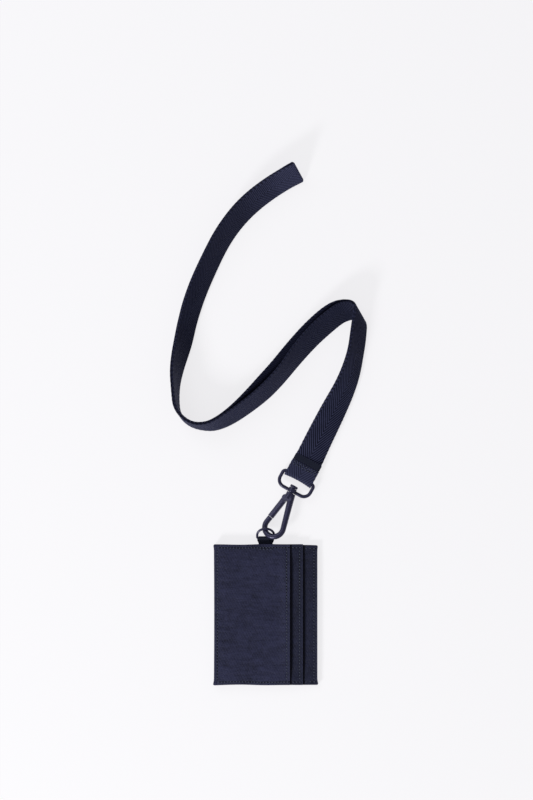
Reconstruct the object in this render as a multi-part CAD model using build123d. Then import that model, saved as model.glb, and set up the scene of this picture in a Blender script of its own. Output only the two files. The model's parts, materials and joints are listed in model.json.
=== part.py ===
from build123d import *
import os
from math import atan2, cos, degrees, hypot, radians, sin, tan

# Neck pouch wallet: a flat card wallet, a swivel snap hook and a webbing neck lanyard.
# Millimetres. The origin is the middle of the wallet's back face, which lies on the table. +X runs
# towards the pocket mouths, +Y towards the hook, +Z out of the front of the wallet.

# ---- wallet ----
WALLET_WIDTH = 73.4
POCKET_HEIGHT = 100.0
BASE_HEIGHT = 99.4           # back and base panels stop a little short of the pockets at the top
FRONT_POCKET_DEPTH = 54.0    # left edge to front mouth
MIDDLE_POCKET_DEPTH = 63.2
CORNER = 1.2
RIM = 4.0                    # width of the sewn margin round each pocket
BACK_THICK = 0.9
LINING_THICK = 0.25
MAIN_SLOT = 1.0
PANEL_THICK = 0.8
CARD_SLOT = 0.5
LINING_INSET = 0.5

LEFT = -WALLET_WIDTH / 2
RIGHT = WALLET_WIDTH / 2
BOTTOM = -POCKET_HEIGHT / 2
TOP = POCKET_HEIGHT / 2
BASE_TOP = BOTTOM + BASE_HEIGHT
FRONT_MOUTH = LEFT + FRONT_POCKET_DEPTH
MIDDLE_MOUTH = LEFT + MIDDLE_POCKET_DEPTH

# heights of the layers, from the back face up
BACK_LINING_Z = BACK_THICK
SLOT_Z = BACK_LINING_Z + LINING_THICK
BASE_LINING_Z = SLOT_Z + MAIN_SLOT
BASE_Z = BASE_LINING_Z + LINING_THICK
BASE_FACE = BASE_Z + PANEL_THICK
MIDDLE_Z = BASE_FACE + CARD_SLOT
MIDDLE_FACE = MIDDLE_Z + PANEL_THICK
FRONT_Z = MIDDLE_FACE + CARD_SLOT
FRONT_FACE = FRONT_Z + PANEL_THICK

# ---- stitches ----
STITCH_PITCH = 2.1
STITCH_LENGTH = 1.5
STITCH_WIDTH = 0.4
STITCH_HEIGHT = 0.2
SEAM_INSET = 2.4

# ---- tab and D-ring ----
TAB_WIDTH = 10.0
TAB_PLY = MAIN_SLOT / 2
TAB_TAIL = 6.0               # length of the tab inside the main slot's top margin
RING_WIRE = 0.85             # wire radius
RING_HALF_WIDTH = 6.0
RING_STRAIGHT = 3.0          # length of the ring's straight sides
RING_CORNER = 1.2
RING_TILT = 39.0
BAR_Y = 54.2
BAR_Z = SLOT_Z + TAB_PLY + 0.1
RING_CLEARANCE = 0.1

# ---- snap hook, in the plane of the hook, from the middle of its bow ----
BOW = (6.0, 62.3, 5.8)
SLOPE_X = 0.3                # the hook lies rolled a little, right side up
SLOPE_Y = -0.22              # and its swivel end lower than its bow
HOOK_WIRE = 2.0              # wire radius
BOW_RADIUS = 6.9
GATE_LEAN = 37.0             # degrees off the hook's +v
SPINE_LEAN = 11.5
NOSE_RUN = 3.9               # nose, straight on from the bow
SPINE_RUN = 25.4
SPINE_TOP_WIRE = 2.4         # the spine thickens towards the swivel
GATE_PIVOT = (7.2, 21.2)
GATE_GAP = 0.25
GATE_WIDTH = 4.3
GATE_THICK = 3.8
KNUCKLE = 2.15
KNUCKLE_THICK = 2.7
CHEEK_GAP = 0.1
CHEEK_THICK = 0.85
CHEEK_OUT = 2.15
GATE_START = CHEEK_OUT + 0.9 # where the gate's bar begins, from its pivot
GATE_ROUND = 1.5             # rounding along the gate's bar
SLOT_ROOM = 0.35             # room round the knuckle
SLOT_RUN = 8.0               # length of the slot that the gate swings in
SHOULDER = (1.2, 3.6)        # middle of the housing's shoulder, back from the spine's top
SHOULDER_RADIUS = 1.6
BOSS_FOOT_RADIUS = 2.2
PIN = 0.6
PIN_CLEARANCE = 0.05
SPRING_WIRE = 0.18
SPRING_RADIUS = 1.02
SPRING_TURNS = 3
SPRING_ROOM = 2.2

# ---- swivel: stud, collar and webbing loop ----
COLLAR_AT = (11.7, 26.5)     # middle of the collar, in the plane of the hook
STUD_LEAN = 26.5
COLLAR_RADIUS = 3.0
COLLAR_HALF = 1.7
SHANK = 1.5
SHANK_CLEARANCE = 0.06
KNOB_RADIUS = 2.9
SHANK_DEPTH = 2.0            # how far the shank reaches into the boss
KNOB_HEIGHT = 1.8
KNOB_ROUND = 0.6
COLLAR_ROUND = 0.4
BOSS_RADIUS = 2.9
BOSS_DEPTH = 4.6
SWIVEL_GAP = 0.3
LOOP_WIRE = 1.25
LOOP_HALF_WIDTH = 12.15
LOOP_BAR = 10.4              # collar to bar
LOOP_FOOT = -0.5             # lowest run of the loop, beside the collar
LOOP_TOP_CORNER = 2.1
LOOP_LOBE = 5.2

# ---- lanyard ----
WEBBING_WIDTH = 21.0
WEBBING_THICK = 1.1
PLY_GAP = 0.15
PLAN_THICK = 1.3             # thickness of a leaning ply, measured level
RULING = (-7.8, 12.8, 14.7)  # lower edge to upper edge of the standing webbing
END_START = 13.7             # webbing's end, from the collar
END_FLAT = 26.0
LOOP_END = 20.4              # end of the short webbing loop
BAND_LENGTH = 4.6
BAND_THICK = 0.4
BAR_HOLE = 1.45

# Route of the doubled webbing, middle of its width seen from above, from the neck fold to the hook end.
ROUTE = [
    (21.9, 314.9), (-0.9, 302.4), (-27.4, 276.9), (-45.2, 238.1), (-52.7, 215.5), (-56.9, 198.4),
    (-65.0, 174.4), (-66.7, 160.3), (-65.9, 146.6), (-53.3, 137.0), (-33.6, 137.0), (0.0, 160.7),
    (26.7, 192.8), (44.9, 209.6), (56.0, 218.1), (67.2, 218.1), (67.2, 199.3), (60.4, 170.7),
]
# Where the webbing turns flat: middle of its width, and lower edge to upper edge.
TWIST = [
    ((55.4, 160.1, 6.4), (-10.65, 12.8, 12.8)),
    ((47.4, 143.1, 5.55), (-12.4, 12.8, 11.1)),
    ((36.2, 121.4, 3.95), (-15.3, 12.1, 7.9)),
]

os.makedirs("parts", exist_ok=True)


def save(solid, node):
    export_step(solid, f"parts/{node}.step")


def slab(x0, x1, y0, y1, z0, z1):
    """A plain block between two corners."""
    return Pos((x0 + x1) / 2, (y0 + y1) / 2, (z0 + z1) / 2) * Box(x1 - x0, y1 - y0, z1 - z0)


def group(solids):
    """Separate solids of one node."""
    return Compound(children=list(solids))


# ---------------------------------------------------------------- wallet

def outline(x1, y1):
    """Panel outline from the wallet's bottom left corner, with eased corners."""
    return Pos((LEFT + x1) / 2, (BOTTOM + y1) / 2) * RectangleRounded(x1 - LEFT, y1 - BOTTOM, CORNER)


def plate(x1, y1, z0, z1):
    return Pos(0, 0, z0) * extrude(outline(x1, y1), z1 - z0)


def pocket(x1, y1, z_under, z_plate, z_face):
    """A panel with its sewn margin under it, closed at the left, top and bottom and open at the right."""
    whole = plate(x1, y1, z_under, z_face)
    return whole - slab(LEFT + RIM, x1 + 1, BOTTOM + RIM, y1 - RIM, z_under - 1, z_plate)


save(plate(RIGHT, BASE_TOP, 0, BACK_THICK), "back_panel")
save(
    slab(LEFT + LINING_INSET, RIGHT - LINING_INSET, BOTTOM + LINING_INSET, BASE_TOP - LINING_INSET,
         BACK_LINING_Z, SLOT_Z),
    "back_lining",
)
base_panel = pocket(RIGHT, BASE_TOP, BACK_LINING_Z, BASE_LINING_Z, BASE_FACE)
base_panel -= slab(LEFT + LINING_INSET, RIGHT, BOTTOM + LINING_INSET, BASE_TOP - LINING_INSET,
                   BACK_LINING_Z, SLOT_Z)
base_panel -= slab(LEFT + RIM, RIGHT, BOTTOM + RIM, BASE_TOP - RIM, BASE_LINING_Z - 0.1, BASE_Z)
base_panel -= slab(-TAB_WIDTH / 2, TAB_WIDTH / 2, BASE_TOP - RIM - 1, BASE_TOP + 1, SLOT_Z, BASE_LINING_Z)
save(base_panel, "base_panel")
save(
    slab(LEFT + RIM, RIGHT - LINING_INSET, BOTTOM + RIM, BASE_TOP - RIM, BASE_LINING_Z, BASE_Z),
    "base_lining",
)
save(pocket(MIDDLE_MOUTH, TOP, BASE_FACE, MIDDLE_Z, MIDDLE_FACE), "middle_pocket")
save(pocket(FRONT_MOUTH, TOP, MIDDLE_FACE, FRONT_Z, FRONT_FACE), "front_pocket")


# ---------------------------------------------------------------- stitching

def seam(x0, y0, x1, y1, z, pitch=STITCH_PITCH, length=STITCH_LENGTH):
    """A row of stitches between two points, each a small block lying on a face."""
    run = hypot(x1 - x0, y1 - y0)
    count = max(1, int(run / pitch))
    turn = degrees(atan2(y1 - y0, x1 - x0))
    row = []
    for k in range(count):
        along = (k + 0.5) / count
        place = Pos(x0 + (x1 - x0) * along, y0 + (y1 - y0) * along, z + STITCH_HEIGHT / 2)
        row.append(place * Rot(0, 0, turn) * Box(length, STITCH_WIDTH, STITCH_HEIGHT))
    return row


SEAM_LEFT = LEFT + SEAM_INSET
SEAM_RIGHT = RIGHT - SEAM_INSET
SEAM_BOTTOM = BOTTOM + SEAM_INSET
SEAM_TOP = TOP - SEAM_INSET
edge_seam = seam(SEAM_LEFT, SEAM_TOP - 1.5, SEAM_LEFT, SEAM_BOTTOM + 1.5, FRONT_FACE)
for y in (SEAM_BOTTOM, SEAM_TOP):
    edge_seam += seam(SEAM_LEFT, y, FRONT_MOUTH - 1, y, FRONT_FACE)
    edge_seam += seam(FRONT_MOUTH + 1, y, MIDDLE_MOUTH - 1, y, MIDDLE_FACE)
    edge_seam += seam(MIDDLE_MOUTH + 1, y, RIGHT - 1, y, BASE_FACE)
save(group(edge_seam), "perimeter_stitching")
for mouth, face, node in (
    (FRONT_MOUTH, FRONT_FACE, "front_mouth_stitching"),
    (MIDDLE_MOUTH, MIDDLE_FACE, "middle_mouth_stitching"),
    (RIGHT, BASE_FACE, "base_mouth_stitching"),
):
    x = mouth - SEAM_INSET
    save(group(seam(x, SEAM_BOTTOM + 1.5, x, SEAM_TOP - 1.5, face)), node)
tab_row = SEAM_TOP - 1.1
save(group(seam(-TAB_WIDTH / 2, tab_row, TAB_WIDTH / 2, tab_row, FRONT_FACE)), "tab_stitching")


# ---------------------------------------------------------------- ribbon tab

bar_hole = RING_WIRE + RING_CLEARANCE
fold = bar_hole + TAB_PLY
tail = Plane.YZ * Pos((TOP - TAB_TAIL + BAR_Y - 1) / 2, (SLOT_Z + BASE_LINING_Z) / 2) * Rectangle(
    BAR_Y - 1 - TOP + TAB_TAIL, MAIN_SLOT
)
spread = Plane.YZ * make_face(
    Polyline(
        (TOP + 0.6, SLOT_Z), (BAR_Y - 0.6, BAR_Z - fold + 0.12), (BAR_Y, BAR_Z),
        (BAR_Y - 0.6, BAR_Z + fold - 0.12), (TOP + 0.6, BASE_LINING_Z), close=True,
    )
)
eye = Plane.YZ * Pos(BAR_Y, BAR_Z) * Circle(fold)
profile = tail + spread + eye - Plane.YZ * Pos(BAR_Y, BAR_Z) * Circle(bar_hole)
save(Pos(-TAB_WIDTH / 2, 0, 0) * extrude(profile, TAB_WIDTH, dir=(1, 0, 0)), "ring_tab")


# ---------------------------------------------------------------- D-ring

ring_path = FilletPolyline(
    (0, 0), (RING_HALF_WIDTH, 0), (RING_HALF_WIDTH, RING_STRAIGHT), radius=RING_CORNER
) + RadiusArc((RING_HALF_WIDTH, RING_STRAIGHT), (0, RING_STRAIGHT + RING_HALF_WIDTH), -RING_HALF_WIDTH)
ring_half = sweep(Plane(origin=(0, 0, 0), z_dir=(1, 0, 0)) * Circle(RING_WIRE), path=ring_path)
ring = ring_half + mirror(ring_half, about=Plane.YZ)
save(Pos(0, BAR_Y, BAR_Z) * Rot(RING_TILT, 0, 0) * ring, "d_ring")


# ---------------------------------------------------------------- snap hook

hook_plane = Plane(origin=BOW, x_dir=(1, 0, SLOPE_X), z_dir=(-SLOPE_X, -SLOPE_Y, 1))
gate_dir = (sin(radians(GATE_LEAN)), cos(radians(GATE_LEAN)))
spine_dir = (sin(radians(SPINE_LEAN)), cos(radians(SPINE_LEAN)))
stud_dir = (sin(radians(STUD_LEAN)), cos(radians(STUD_LEAN)))
nose_foot = (-BOW_RADIUS * gate_dir[1], BOW_RADIUS * gate_dir[0])
nose_tip = (nose_foot[0] + NOSE_RUN * gate_dir[0], nose_foot[1] + NOSE_RUN * gate_dir[1])
spine_foot = (BOW_RADIUS * spine_dir[1], -BOW_RADIUS * spine_dir[0])
spine_top = (spine_foot[0] + SPINE_RUN * spine_dir[0], spine_foot[1] + SPINE_RUN * spine_dir[1])


def along_stud(distance):
    """A point on the stud's line, that far past the middle of the collar."""
    return (COLLAR_AT[0] + distance * stud_dir[0], COLLAR_AT[1] + distance * stud_dir[1])


def stud_frame(distance):
    """A plane across the stud's line, its normal towards the lanyard."""
    at = along_stud(distance)
    return Plane(origin=(at[0], at[1], 0), x_dir=(0, 0, 1), z_dir=(stud_dir[0], stud_dir[1], 0))


def round_bar(start, end, radius):
    """A straight cylinder between two points of the hook's plane."""
    run = (end[0] - start[0], end[1] - start[1])
    face = Plane(origin=(start[0], start[1], 0), z_dir=(run[0], run[1], 0)) * Circle(radius)
    return extrude(face, hypot(*run), dir=(run[0], run[1], 0))


wire_path = Line(nose_tip, nose_foot) + CenterArc(
    (0, 0), BOW_RADIUS, 180 - GATE_LEAN, 180 + GATE_LEAN - SPINE_LEAN
)
nose_face = Plane(origin=(nose_tip[0], nose_tip[1], 0), z_dir=(-gate_dir[0], -gate_dir[1], 0))
foot_face = Plane(origin=(spine_foot[0], spine_foot[1], 0), z_dir=(spine_dir[0], spine_dir[1], 0))
top_face = Plane(origin=(spine_top[0], spine_top[1], 0), z_dir=foot_face.z_dir)
bow = sweep(nose_face * Circle(HOOK_WIRE), path=wire_path)
spine = loft([foot_face * Circle(HOOK_WIRE), top_face * Circle(SPINE_TOP_WIRE)])
boss_top = -COLLAR_HALF - SWIVEL_GAP
boss = extrude(stud_frame(boss_top - BOSS_DEPTH) * Circle(BOSS_RADIUS), BOSS_DEPTH)
cheek_high = KNUCKLE_THICK / 2 + CHEEK_GAP + CHEEK_THICK
boss_low = along_stud(boss_top - BOSS_DEPTH + 1)
shoulder = (spine_top[0] - SHOULDER[0], spine_top[1] - SHOULDER[1])
side = Pos(0, 0, -cheek_high) * extrude(
    make_hull(
        [
            *(Pos(*GATE_PIVOT) * Circle(CHEEK_OUT)).edges(),
            *(Pos(*boss_low) * Circle(BOSS_FOOT_RADIUS)).edges(),
            *(Pos(*shoulder) * Circle(SHOULDER_RADIUS)).edges(),
        ]
    ),
    2 * cheek_high,
)
housing = side + boss
slot_reach = KNUCKLE + SLOT_ROOM
slot_middle = (
    GATE_PIVOT[0] - SLOT_RUN / 2 * gate_dir[0],
    GATE_PIVOT[1] - SLOT_RUN / 2 * gate_dir[1],
)
slot_mouth = Pos(*slot_middle) * Rot(0, 0, -GATE_LEAN) * Rectangle(2 * slot_reach + 1.0, SLOT_RUN)
gate_slot = Pos(0, 0, -KNUCKLE_THICK / 2 - CHEEK_GAP) * extrude(
    Pos(*GATE_PIVOT) * Circle(slot_reach) + slot_mouth, KNUCKLE_THICK + 2 * CHEEK_GAP
)
pin = Pos(*GATE_PIVOT, -cheek_high) * extrude(Circle(PIN), 2 * cheek_high)
shank_hole = extrude(stud_frame(boss_top - SHANK_DEPTH) * Circle(SHANK), SHANK_DEPTH + 0.2)
frame = bow + spine + housing - gate_slot - pin - shank_hole
save(hook_plane.location * frame, "hook_frame")
save(hook_plane.location * pin, "gate_pin")

knob_foot = COLLAR_HALF + 0.2
shank_length = knob_foot - boss_top + SHANK_DEPTH + 0.1
shank = extrude(stud_frame(boss_top - SHANK_DEPTH) * Circle(SHANK), shank_length)
knob = extrude(stud_frame(knob_foot) * Circle(KNOB_RADIUS), KNOB_HEIGHT)
knob = fillet(knob.edges().filter_by(GeomType.CIRCLE), KNOB_ROUND)
save(hook_plane.location * (shank + knob), "swivel_stud")

# gate: a rounded channel bar from the pivot to the nose
nose_gap = (nose_tip[0] + GATE_GAP * gate_dir[0], nose_tip[1] + GATE_GAP * gate_dir[1])
gate_length = hypot(GATE_PIVOT[0] - nose_gap[0], GATE_PIVOT[1] - nose_gap[1])
gate_turn = degrees(atan2(nose_gap[1] - GATE_PIVOT[1], nose_gap[0] - GATE_PIVOT[0]))
gate_plane = Pos(*GATE_PIVOT) * Rot(0, 0, gate_turn)
bar = Pos((GATE_START + gate_length) / 2, 0) * Box(gate_length - GATE_START, GATE_WIDTH, GATE_THICK)
bar = fillet(bar.edges().filter_by(Axis.X), GATE_ROUND)
knuckle = Pos(0, 0, -KNUCKLE_THICK / 2) * extrude(
    Circle(KNUCKLE) + Pos((GATE_START + 0.6) / 2, 0) * Rectangle(GATE_START + 0.6, 2 * KNUCKLE - 0.5),
    KNUCKLE_THICK,
)
spring_room = Pos(0, 0, -SPRING_ROOM / 2) * extrude(Circle(SPRING_RADIUS + SPRING_WIRE + 0.1), SPRING_ROOM)
gate = bar + knuckle - extrude(Circle(PIN + PIN_CLEARANCE), 3, both=True) - spring_room
save(hook_plane.location * gate_plane * gate, "gate")

spring_pitch = 3 * SPRING_WIRE
coil = Helix(spring_pitch, spring_pitch * SPRING_TURNS, SPRING_RADIUS)
coil_face = Plane(origin=coil @ 0, z_dir=coil % 0) * Circle(SPRING_WIRE)
spring = Pos(0, 0, -spring_pitch * SPRING_TURNS / 2) * sweep(coil_face, path=coil, is_frenet=True)
save(hook_plane.location * gate_plane * spring, "gate_spring")


# ---------------------------------------------------------------- webbing loop of the swivel

# The loop's own frame: origin in the middle of the collar, x along the bar, y towards the lanyard.
collar_at = hook_plane.from_local_coords(Vector(*COLLAR_AT, 0))
axis_dir = hook_plane.from_local_coords(Vector(*along_stud(1), 0)) - collar_at
bar_dir = Vector(axis_dir.Y, -axis_dir.X, 0).normalized()
loop_plane = Plane(origin=collar_at, x_dir=bar_dir, z_dir=bar_dir.cross(axis_dir))

lobe_centre = LOOP_FOOT + LOOP_LOBE
loop_half = (
    Line((0, LOOP_BAR), (LOOP_HALF_WIDTH - LOOP_TOP_CORNER, LOOP_BAR))
    + CenterArc((LOOP_HALF_WIDTH - LOOP_TOP_CORNER, LOOP_BAR - LOOP_TOP_CORNER), LOOP_TOP_CORNER, 90, -90)
    + Line((LOOP_HALF_WIDTH, LOOP_BAR - LOOP_TOP_CORNER), (LOOP_HALF_WIDTH, lobe_centre))
    + CenterArc((LOOP_HALF_WIDTH - LOOP_LOBE, lobe_centre), LOOP_LOBE, 0, -90)
    + Line((LOOP_HALF_WIDTH - LOOP_LOBE, LOOP_FOOT), (SHANK + 0.7, LOOP_FOOT))
)
half_ring = sweep(Plane(origin=(0, LOOP_BAR, 0), z_dir=(1, 0, 0)) * Circle(LOOP_WIRE), path=loop_half)
collar_face = Plane(origin=(0, -COLLAR_HALF, 0), z_dir=(0, 1, 0))
collar = extrude(collar_face * Circle(COLLAR_RADIUS), 2 * COLLAR_HALF)
collar = fillet(collar.edges().filter_by(GeomType.CIRCLE), COLLAR_ROUND)
swivel_loop = half_ring + mirror(half_ring, about=Plane.YZ) + collar
swivel_loop -= extrude(collar_face * Circle(SHANK + SHANK_CLEARANCE), 2 * COLLAR_HALF)
save(loop_plane.location * swivel_loop, "swivel_loop")


# ---------------------------------------------------------------- lanyard

def corner_radii(points):
    """Radius for each inner point: 0.45 of the shorter run, over the tangent of half the turn."""
    radii = []
    for before, at, after in zip(points, points[1:], points[2:]):
        into = (at[0] - before[0], at[1] - before[1])
        out = (after[0] - at[0], after[1] - at[1])
        turn = abs(atan2(into[0] * out[1] - into[1] * out[0], into[0] * out[0] + into[1] * out[1]))
        radii.append(0.45 * min(hypot(*into), hypot(*out)) / tan(turn / 2))
    return radii


# the standing length ends half way along its last run, where it begins to turn flat
last = ((ROUTE[-2][0] + ROUTE[-1][0]) / 2, (ROUTE[-2][1] + ROUTE[-1][1]) / 2)
standing = [(x - RULING[0] / 2, y - RULING[1] / 2) for x, y in (*ROUTE[:-1], last)]
radii = corner_radii(standing)
print("webbing radii, mm:", [round(r, 1) for r in radii])
path = FilletPolyline(*standing, radius=radii)
path_edges = path.edges()

# seen from above: two plies with a slit between them, closed round the neck fold
neck = Pos(*standing[0]) * Circle(PLAN_THICK + PLY_GAP / 2)
plies = trace(path_edges, 2 * PLAN_THICK + PLY_GAP) - trace(path_edges, PLY_GAP) + neck
webbing = extrude(plies, Vector(*RULING).length, dir=RULING)
print("webbing length, mm:", round(2 * path.length, 1), "standing volume over section and length:",
      round(webbing.volume / (2 * path.length * PLAN_THICK * RULING[2]), 3))


def ply_section(middle, ruling, across, side, thick):
    """Section of one ply: a strip along the ruling, on one side of the middle."""
    near = across * (side * PLY_GAP / 2)
    far = across * (side * (PLY_GAP / 2 + thick))
    low = middle - ruling / 2
    high = middle + ruling / 2
    return make_face(Polyline(low + near, low + far, high + far, high + near, close=True))


run = Vector(*ROUTE[-1]) - Vector(*ROUTE[-2])
level_across = Vector(-run.Y, run.X, 0).normalized()
flat_ruling = bar_dir * -WEBBING_WIDTH
middles = [Vector(*last, RULING[2] / 2)] + [Vector(*middle) for middle, ruling in TWIST]
middles += [collar_at + axis_dir * END_FLAT, collar_at + axis_dir * END_START]
rulings = [Vector(*RULING)] + [Vector(*ruling) for middle, ruling in TWIST] + [flat_ruling, flat_ruling]
print("hook end length, mm:", round(sum((b - a).length for a, b in zip(middles, middles[1:])), 1))
for side in (-1, 1):
    sections = [ply_section(middles[0], rulings[0], level_across, side, PLAN_THICK)]
    for k in range(1, len(middles)):
        ahead = middles[min(k + 1, len(middles) - 1)] - middles[k - 1]
        across = rulings[k].cross(ahead).normalized()
        sections.append(ply_section(middles[k], rulings[k], across, side, WEBBING_THICK))
    webbing += loft(sections, ruled=True)
save(webbing, "neck_webbing")


half_width = WEBBING_WIDTH / 2
fold_radius = BAR_HOLE + WEBBING_THICK
bar_plane = Plane(origin=(-half_width, LOOP_BAR, 0), x_dir=(0, 1, 0), z_dir=(1, 0, 0))
end_loop = extrude(bar_plane * Circle(fold_radius), WEBBING_WIDTH)
end_loop += slab(-half_width, half_width, LOOP_BAR, LOOP_END, -fold_radius, fold_radius)
end_loop -= extrude(bar_plane * Circle(BAR_HOLE), WEBBING_WIDTH)
end_loop -= slab(-half_width, half_width, LOOP_BAR, LOOP_END, -BAR_HOLE, BAR_HOLE)
save(loop_plane.location * end_loop, "end_loop")

ply_stack = WEBBING_THICK + PLY_GAP / 2 + 0.1
sleeve_side = half_width + 0.1
band_start = LOOP_END + 0.3
band_end = band_start + BAND_LENGTH
seam_band = slab(-sleeve_side - BAND_THICK, sleeve_side + BAND_THICK, band_start, band_end,
                 -ply_stack - BAND_THICK, ply_stack + BAND_THICK)
seam_band -= slab(-sleeve_side, sleeve_side, band_start, band_end, -ply_stack, ply_stack)
save(loop_plane.location * seam_band, "seam_band")

row_inset = 1.2
seam_rows = []
for y in (LOOP_END - 1.4, LOOP_END - 3.2):
    seam_rows += seam(-half_width + row_inset, y, half_width - row_inset, y, fold_radius)
save(loop_plane.location * group(seam_rows), "seam_stitching")
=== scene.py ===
import json
from functools import cache
from math import cos, hypot, pi, radians, sin

import bmesh
import bpy
import numpy as np
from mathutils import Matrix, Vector

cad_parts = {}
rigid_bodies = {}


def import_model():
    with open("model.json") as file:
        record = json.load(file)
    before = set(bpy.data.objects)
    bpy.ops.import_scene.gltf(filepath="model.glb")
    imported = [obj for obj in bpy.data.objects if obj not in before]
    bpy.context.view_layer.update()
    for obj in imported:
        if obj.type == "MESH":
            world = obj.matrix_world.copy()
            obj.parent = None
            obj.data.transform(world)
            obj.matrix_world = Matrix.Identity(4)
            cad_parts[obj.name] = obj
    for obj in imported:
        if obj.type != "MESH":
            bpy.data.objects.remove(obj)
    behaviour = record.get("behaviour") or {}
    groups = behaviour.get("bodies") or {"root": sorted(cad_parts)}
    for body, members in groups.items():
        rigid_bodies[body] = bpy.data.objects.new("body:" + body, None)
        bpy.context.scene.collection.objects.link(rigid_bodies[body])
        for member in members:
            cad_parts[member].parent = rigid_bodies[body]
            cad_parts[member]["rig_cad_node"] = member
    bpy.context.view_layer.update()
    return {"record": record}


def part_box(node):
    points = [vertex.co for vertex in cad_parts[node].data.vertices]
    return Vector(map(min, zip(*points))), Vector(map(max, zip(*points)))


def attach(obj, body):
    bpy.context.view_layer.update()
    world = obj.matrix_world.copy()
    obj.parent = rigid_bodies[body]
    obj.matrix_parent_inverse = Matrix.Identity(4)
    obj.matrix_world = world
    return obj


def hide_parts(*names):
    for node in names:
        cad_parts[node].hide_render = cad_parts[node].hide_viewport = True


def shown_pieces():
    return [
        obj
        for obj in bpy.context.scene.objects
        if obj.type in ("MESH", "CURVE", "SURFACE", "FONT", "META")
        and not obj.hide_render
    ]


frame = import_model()

# Looks of the neck pouch wallet. Metres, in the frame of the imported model: the origin is the middle of
# the wallet's back face, +X runs towards the pocket mouths, +Y towards the hook, +Z out of the front.

MM = 0.001

# ---- lanyard ----
WEBBING_WIDTH = 21.0 * MM
WEBBING_THICK = 1.1 * MM
PLY_OFFSET = 0.63 * MM        # middle of the doubled strap to the middle of one ply
FOLD_OFFSET = 1.05 * MM       # the same at the neck fold, where the plies spring apart
FOLD_REACH = 12 * MM          # how far from the fold they stay apart
FOLD_SEAM = 1.2 * MM          # from the fold to the right ply's start, just inside the folded ply's end
FOLD_PINCH = 0.08             # share by which the fold's end is narrower than the webbing
STEP = 0.60 * MM              # between rows of a woven strip
TURN_BLUR = 18                # rows on each side over which the webbing's turning is averaged
RIB_PITCH = 3.0 * MM          # herringbone ribs, along the strap
RIB_SLOPE = 1.7               # how far a rib runs along the strap for each step across it
RIB_HEIGHT = 0.14 * MM
SELVEDGE = 9.75 * MM          # from the middle of the webbing to its selvedge
LEAN_WAY = (-0.520, 0.854, 0.0)   # which way the standing webbing leans, seen from above

# Middle of the doubled webbing, from the neck fold to the hook end.
ROUTE = [
    (0.0221, 0.3135, 0.0088), (-0.0003, 0.3016, 0.0087), (-0.0268, 0.2759, 0.0086),
    (-0.0453, 0.2383, 0.0076), (-0.0533, 0.2164, 0.0068), (-0.0573, 0.1991, 0.0066),
    (-0.0640, 0.1728, 0.0096), (-0.0641, 0.1566, 0.0107), (-0.0627, 0.1428, 0.0109),
    (-0.0505, 0.1330, 0.0112), (-0.0316, 0.1346, 0.0104), (-0.0003, 0.1611, 0.0075),
    (0.0263, 0.1935, 0.0073), (0.0443, 0.2103, 0.0071), (0.0550, 0.2167, 0.0082),
    (0.0676, 0.2158, 0.0080), (0.0662, 0.2020, 0.0068), (0.0612, 0.1704, 0.0078),
    (0.0424, 0.1339, 0.0061), (0.0362, 0.1214, 0.0046), (0.0314, 0.1112, 0.0027),
    (0.0254, 0.1002, 0.0032),
]
# How far the standing webbing leans, upper edge from lower edge seen from above, in millimetres, at
# places on the route.
LEAN = [
    ((0.0221, 0.3135), 13.6), ((-0.0268, 0.2758), 14.0), ((-0.0453, 0.2383), 15.9),
    ((-0.0530, 0.2160), 17.2), ((-0.0571, 0.1987), 17.8), ((-0.0632, 0.1720), 11.4),
    ((-0.0641, 0.1566), 6.3), ((-0.0605, 0.1400), 5.2), ((-0.0505, 0.1345), 3.5),
    ((-0.0316, 0.1350), 8.4), ((-0.0100, 0.1530), 13.6), ((0.0000, 0.1615), 15.9),
    ((0.0264, 0.1930), 16.6), ((0.0445, 0.2095), 16.9), ((0.0556, 0.2160), 15.0),
    ((0.0665, 0.2160), 15.0), ((0.0670, 0.1990), 17.5), ((0.0638, 0.1850), 16.2),
]
# Where the webbing turns flat: a place on the route, and lower edge to upper edge there in millimetres.
TWIST = [
    ((0.0554, 0.1601), (-10.65, 12.8, 12.8)),
    ((0.0474, 0.1431), (-13.0, 13.4, 9.6)),
    ((0.0362, 0.1214), (-15.3, 12.1, 7.4)),
]
# Where the plies part: the right ply's lean over the left ply's, at places on the route.
PARTING = [
    ((-0.0310, 0.1416), 1.0), ((-0.0111, 0.1559), 0.74), ((-0.0026, 0.1644), 0.68),
    ((0.0088, 0.1793), 0.68), ((0.0173, 0.1899), 0.78), ((0.0279, 0.2020), 0.82),
    ((0.0470, 0.2176), 0.84), ((0.0613, 0.2212), 1.0),
]

# ---- swivel, measured from its collar along its axis ----
BAR_HOLE = 1.45 * MM          # radius of the room that the end loop leaves for the bar
LOOP_END = 20.4 * MM          # where the end loop stops and the band starts
LOOP_ROWS = (1.4 * MM, 3.2 * MM)   # rows of stitches, from the end loop's end
BAND_LENGTH = 4.2 * MM
BAND_THICK = 0.4 * MM
BAND_SQUEEZE = 20.0 * MM      # width of the webbing under the band

# ---- wallet ----
CORNER = 1.2 * MM             # radius of the wallet's own corners
POCKET_CORNER = 0.5 * MM      # the same where a pocket ends in its mouth
RIM = 4.0 * MM                # width of the closed margin round a slot
TURNED_EDGE = 0.42 * MM       # radius of a panel's upper edge
LOWER_EDGE = 0.3 * MM         # radius of its lower edge
SEAM_INSET = 2.4 * MM
PANEL_THICK = 0.8 * MM
PANEL_STEP = 0.75 * MM        # between grid lines in the middle of a panel
STITCH_PITCH = 2.1 * MM
STITCH_LENGTH = 1.20 * MM
STITCH_SWAY = 0.06 * MM       # how far a stitch may lie beside its row
STITCH_TILT = 0.05 * MM       # how far its ends lie to either side
STITCH_SINK = 0.22 * MM       # how deep its ends dive
THREAD = 0.30 * MM            # thread radius
HOLE = 0.60 * MM              # radius of the dent round a needle hole
HOLE_SIDES = 10
TAB_WIDTH = 10.0 * MM
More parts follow.
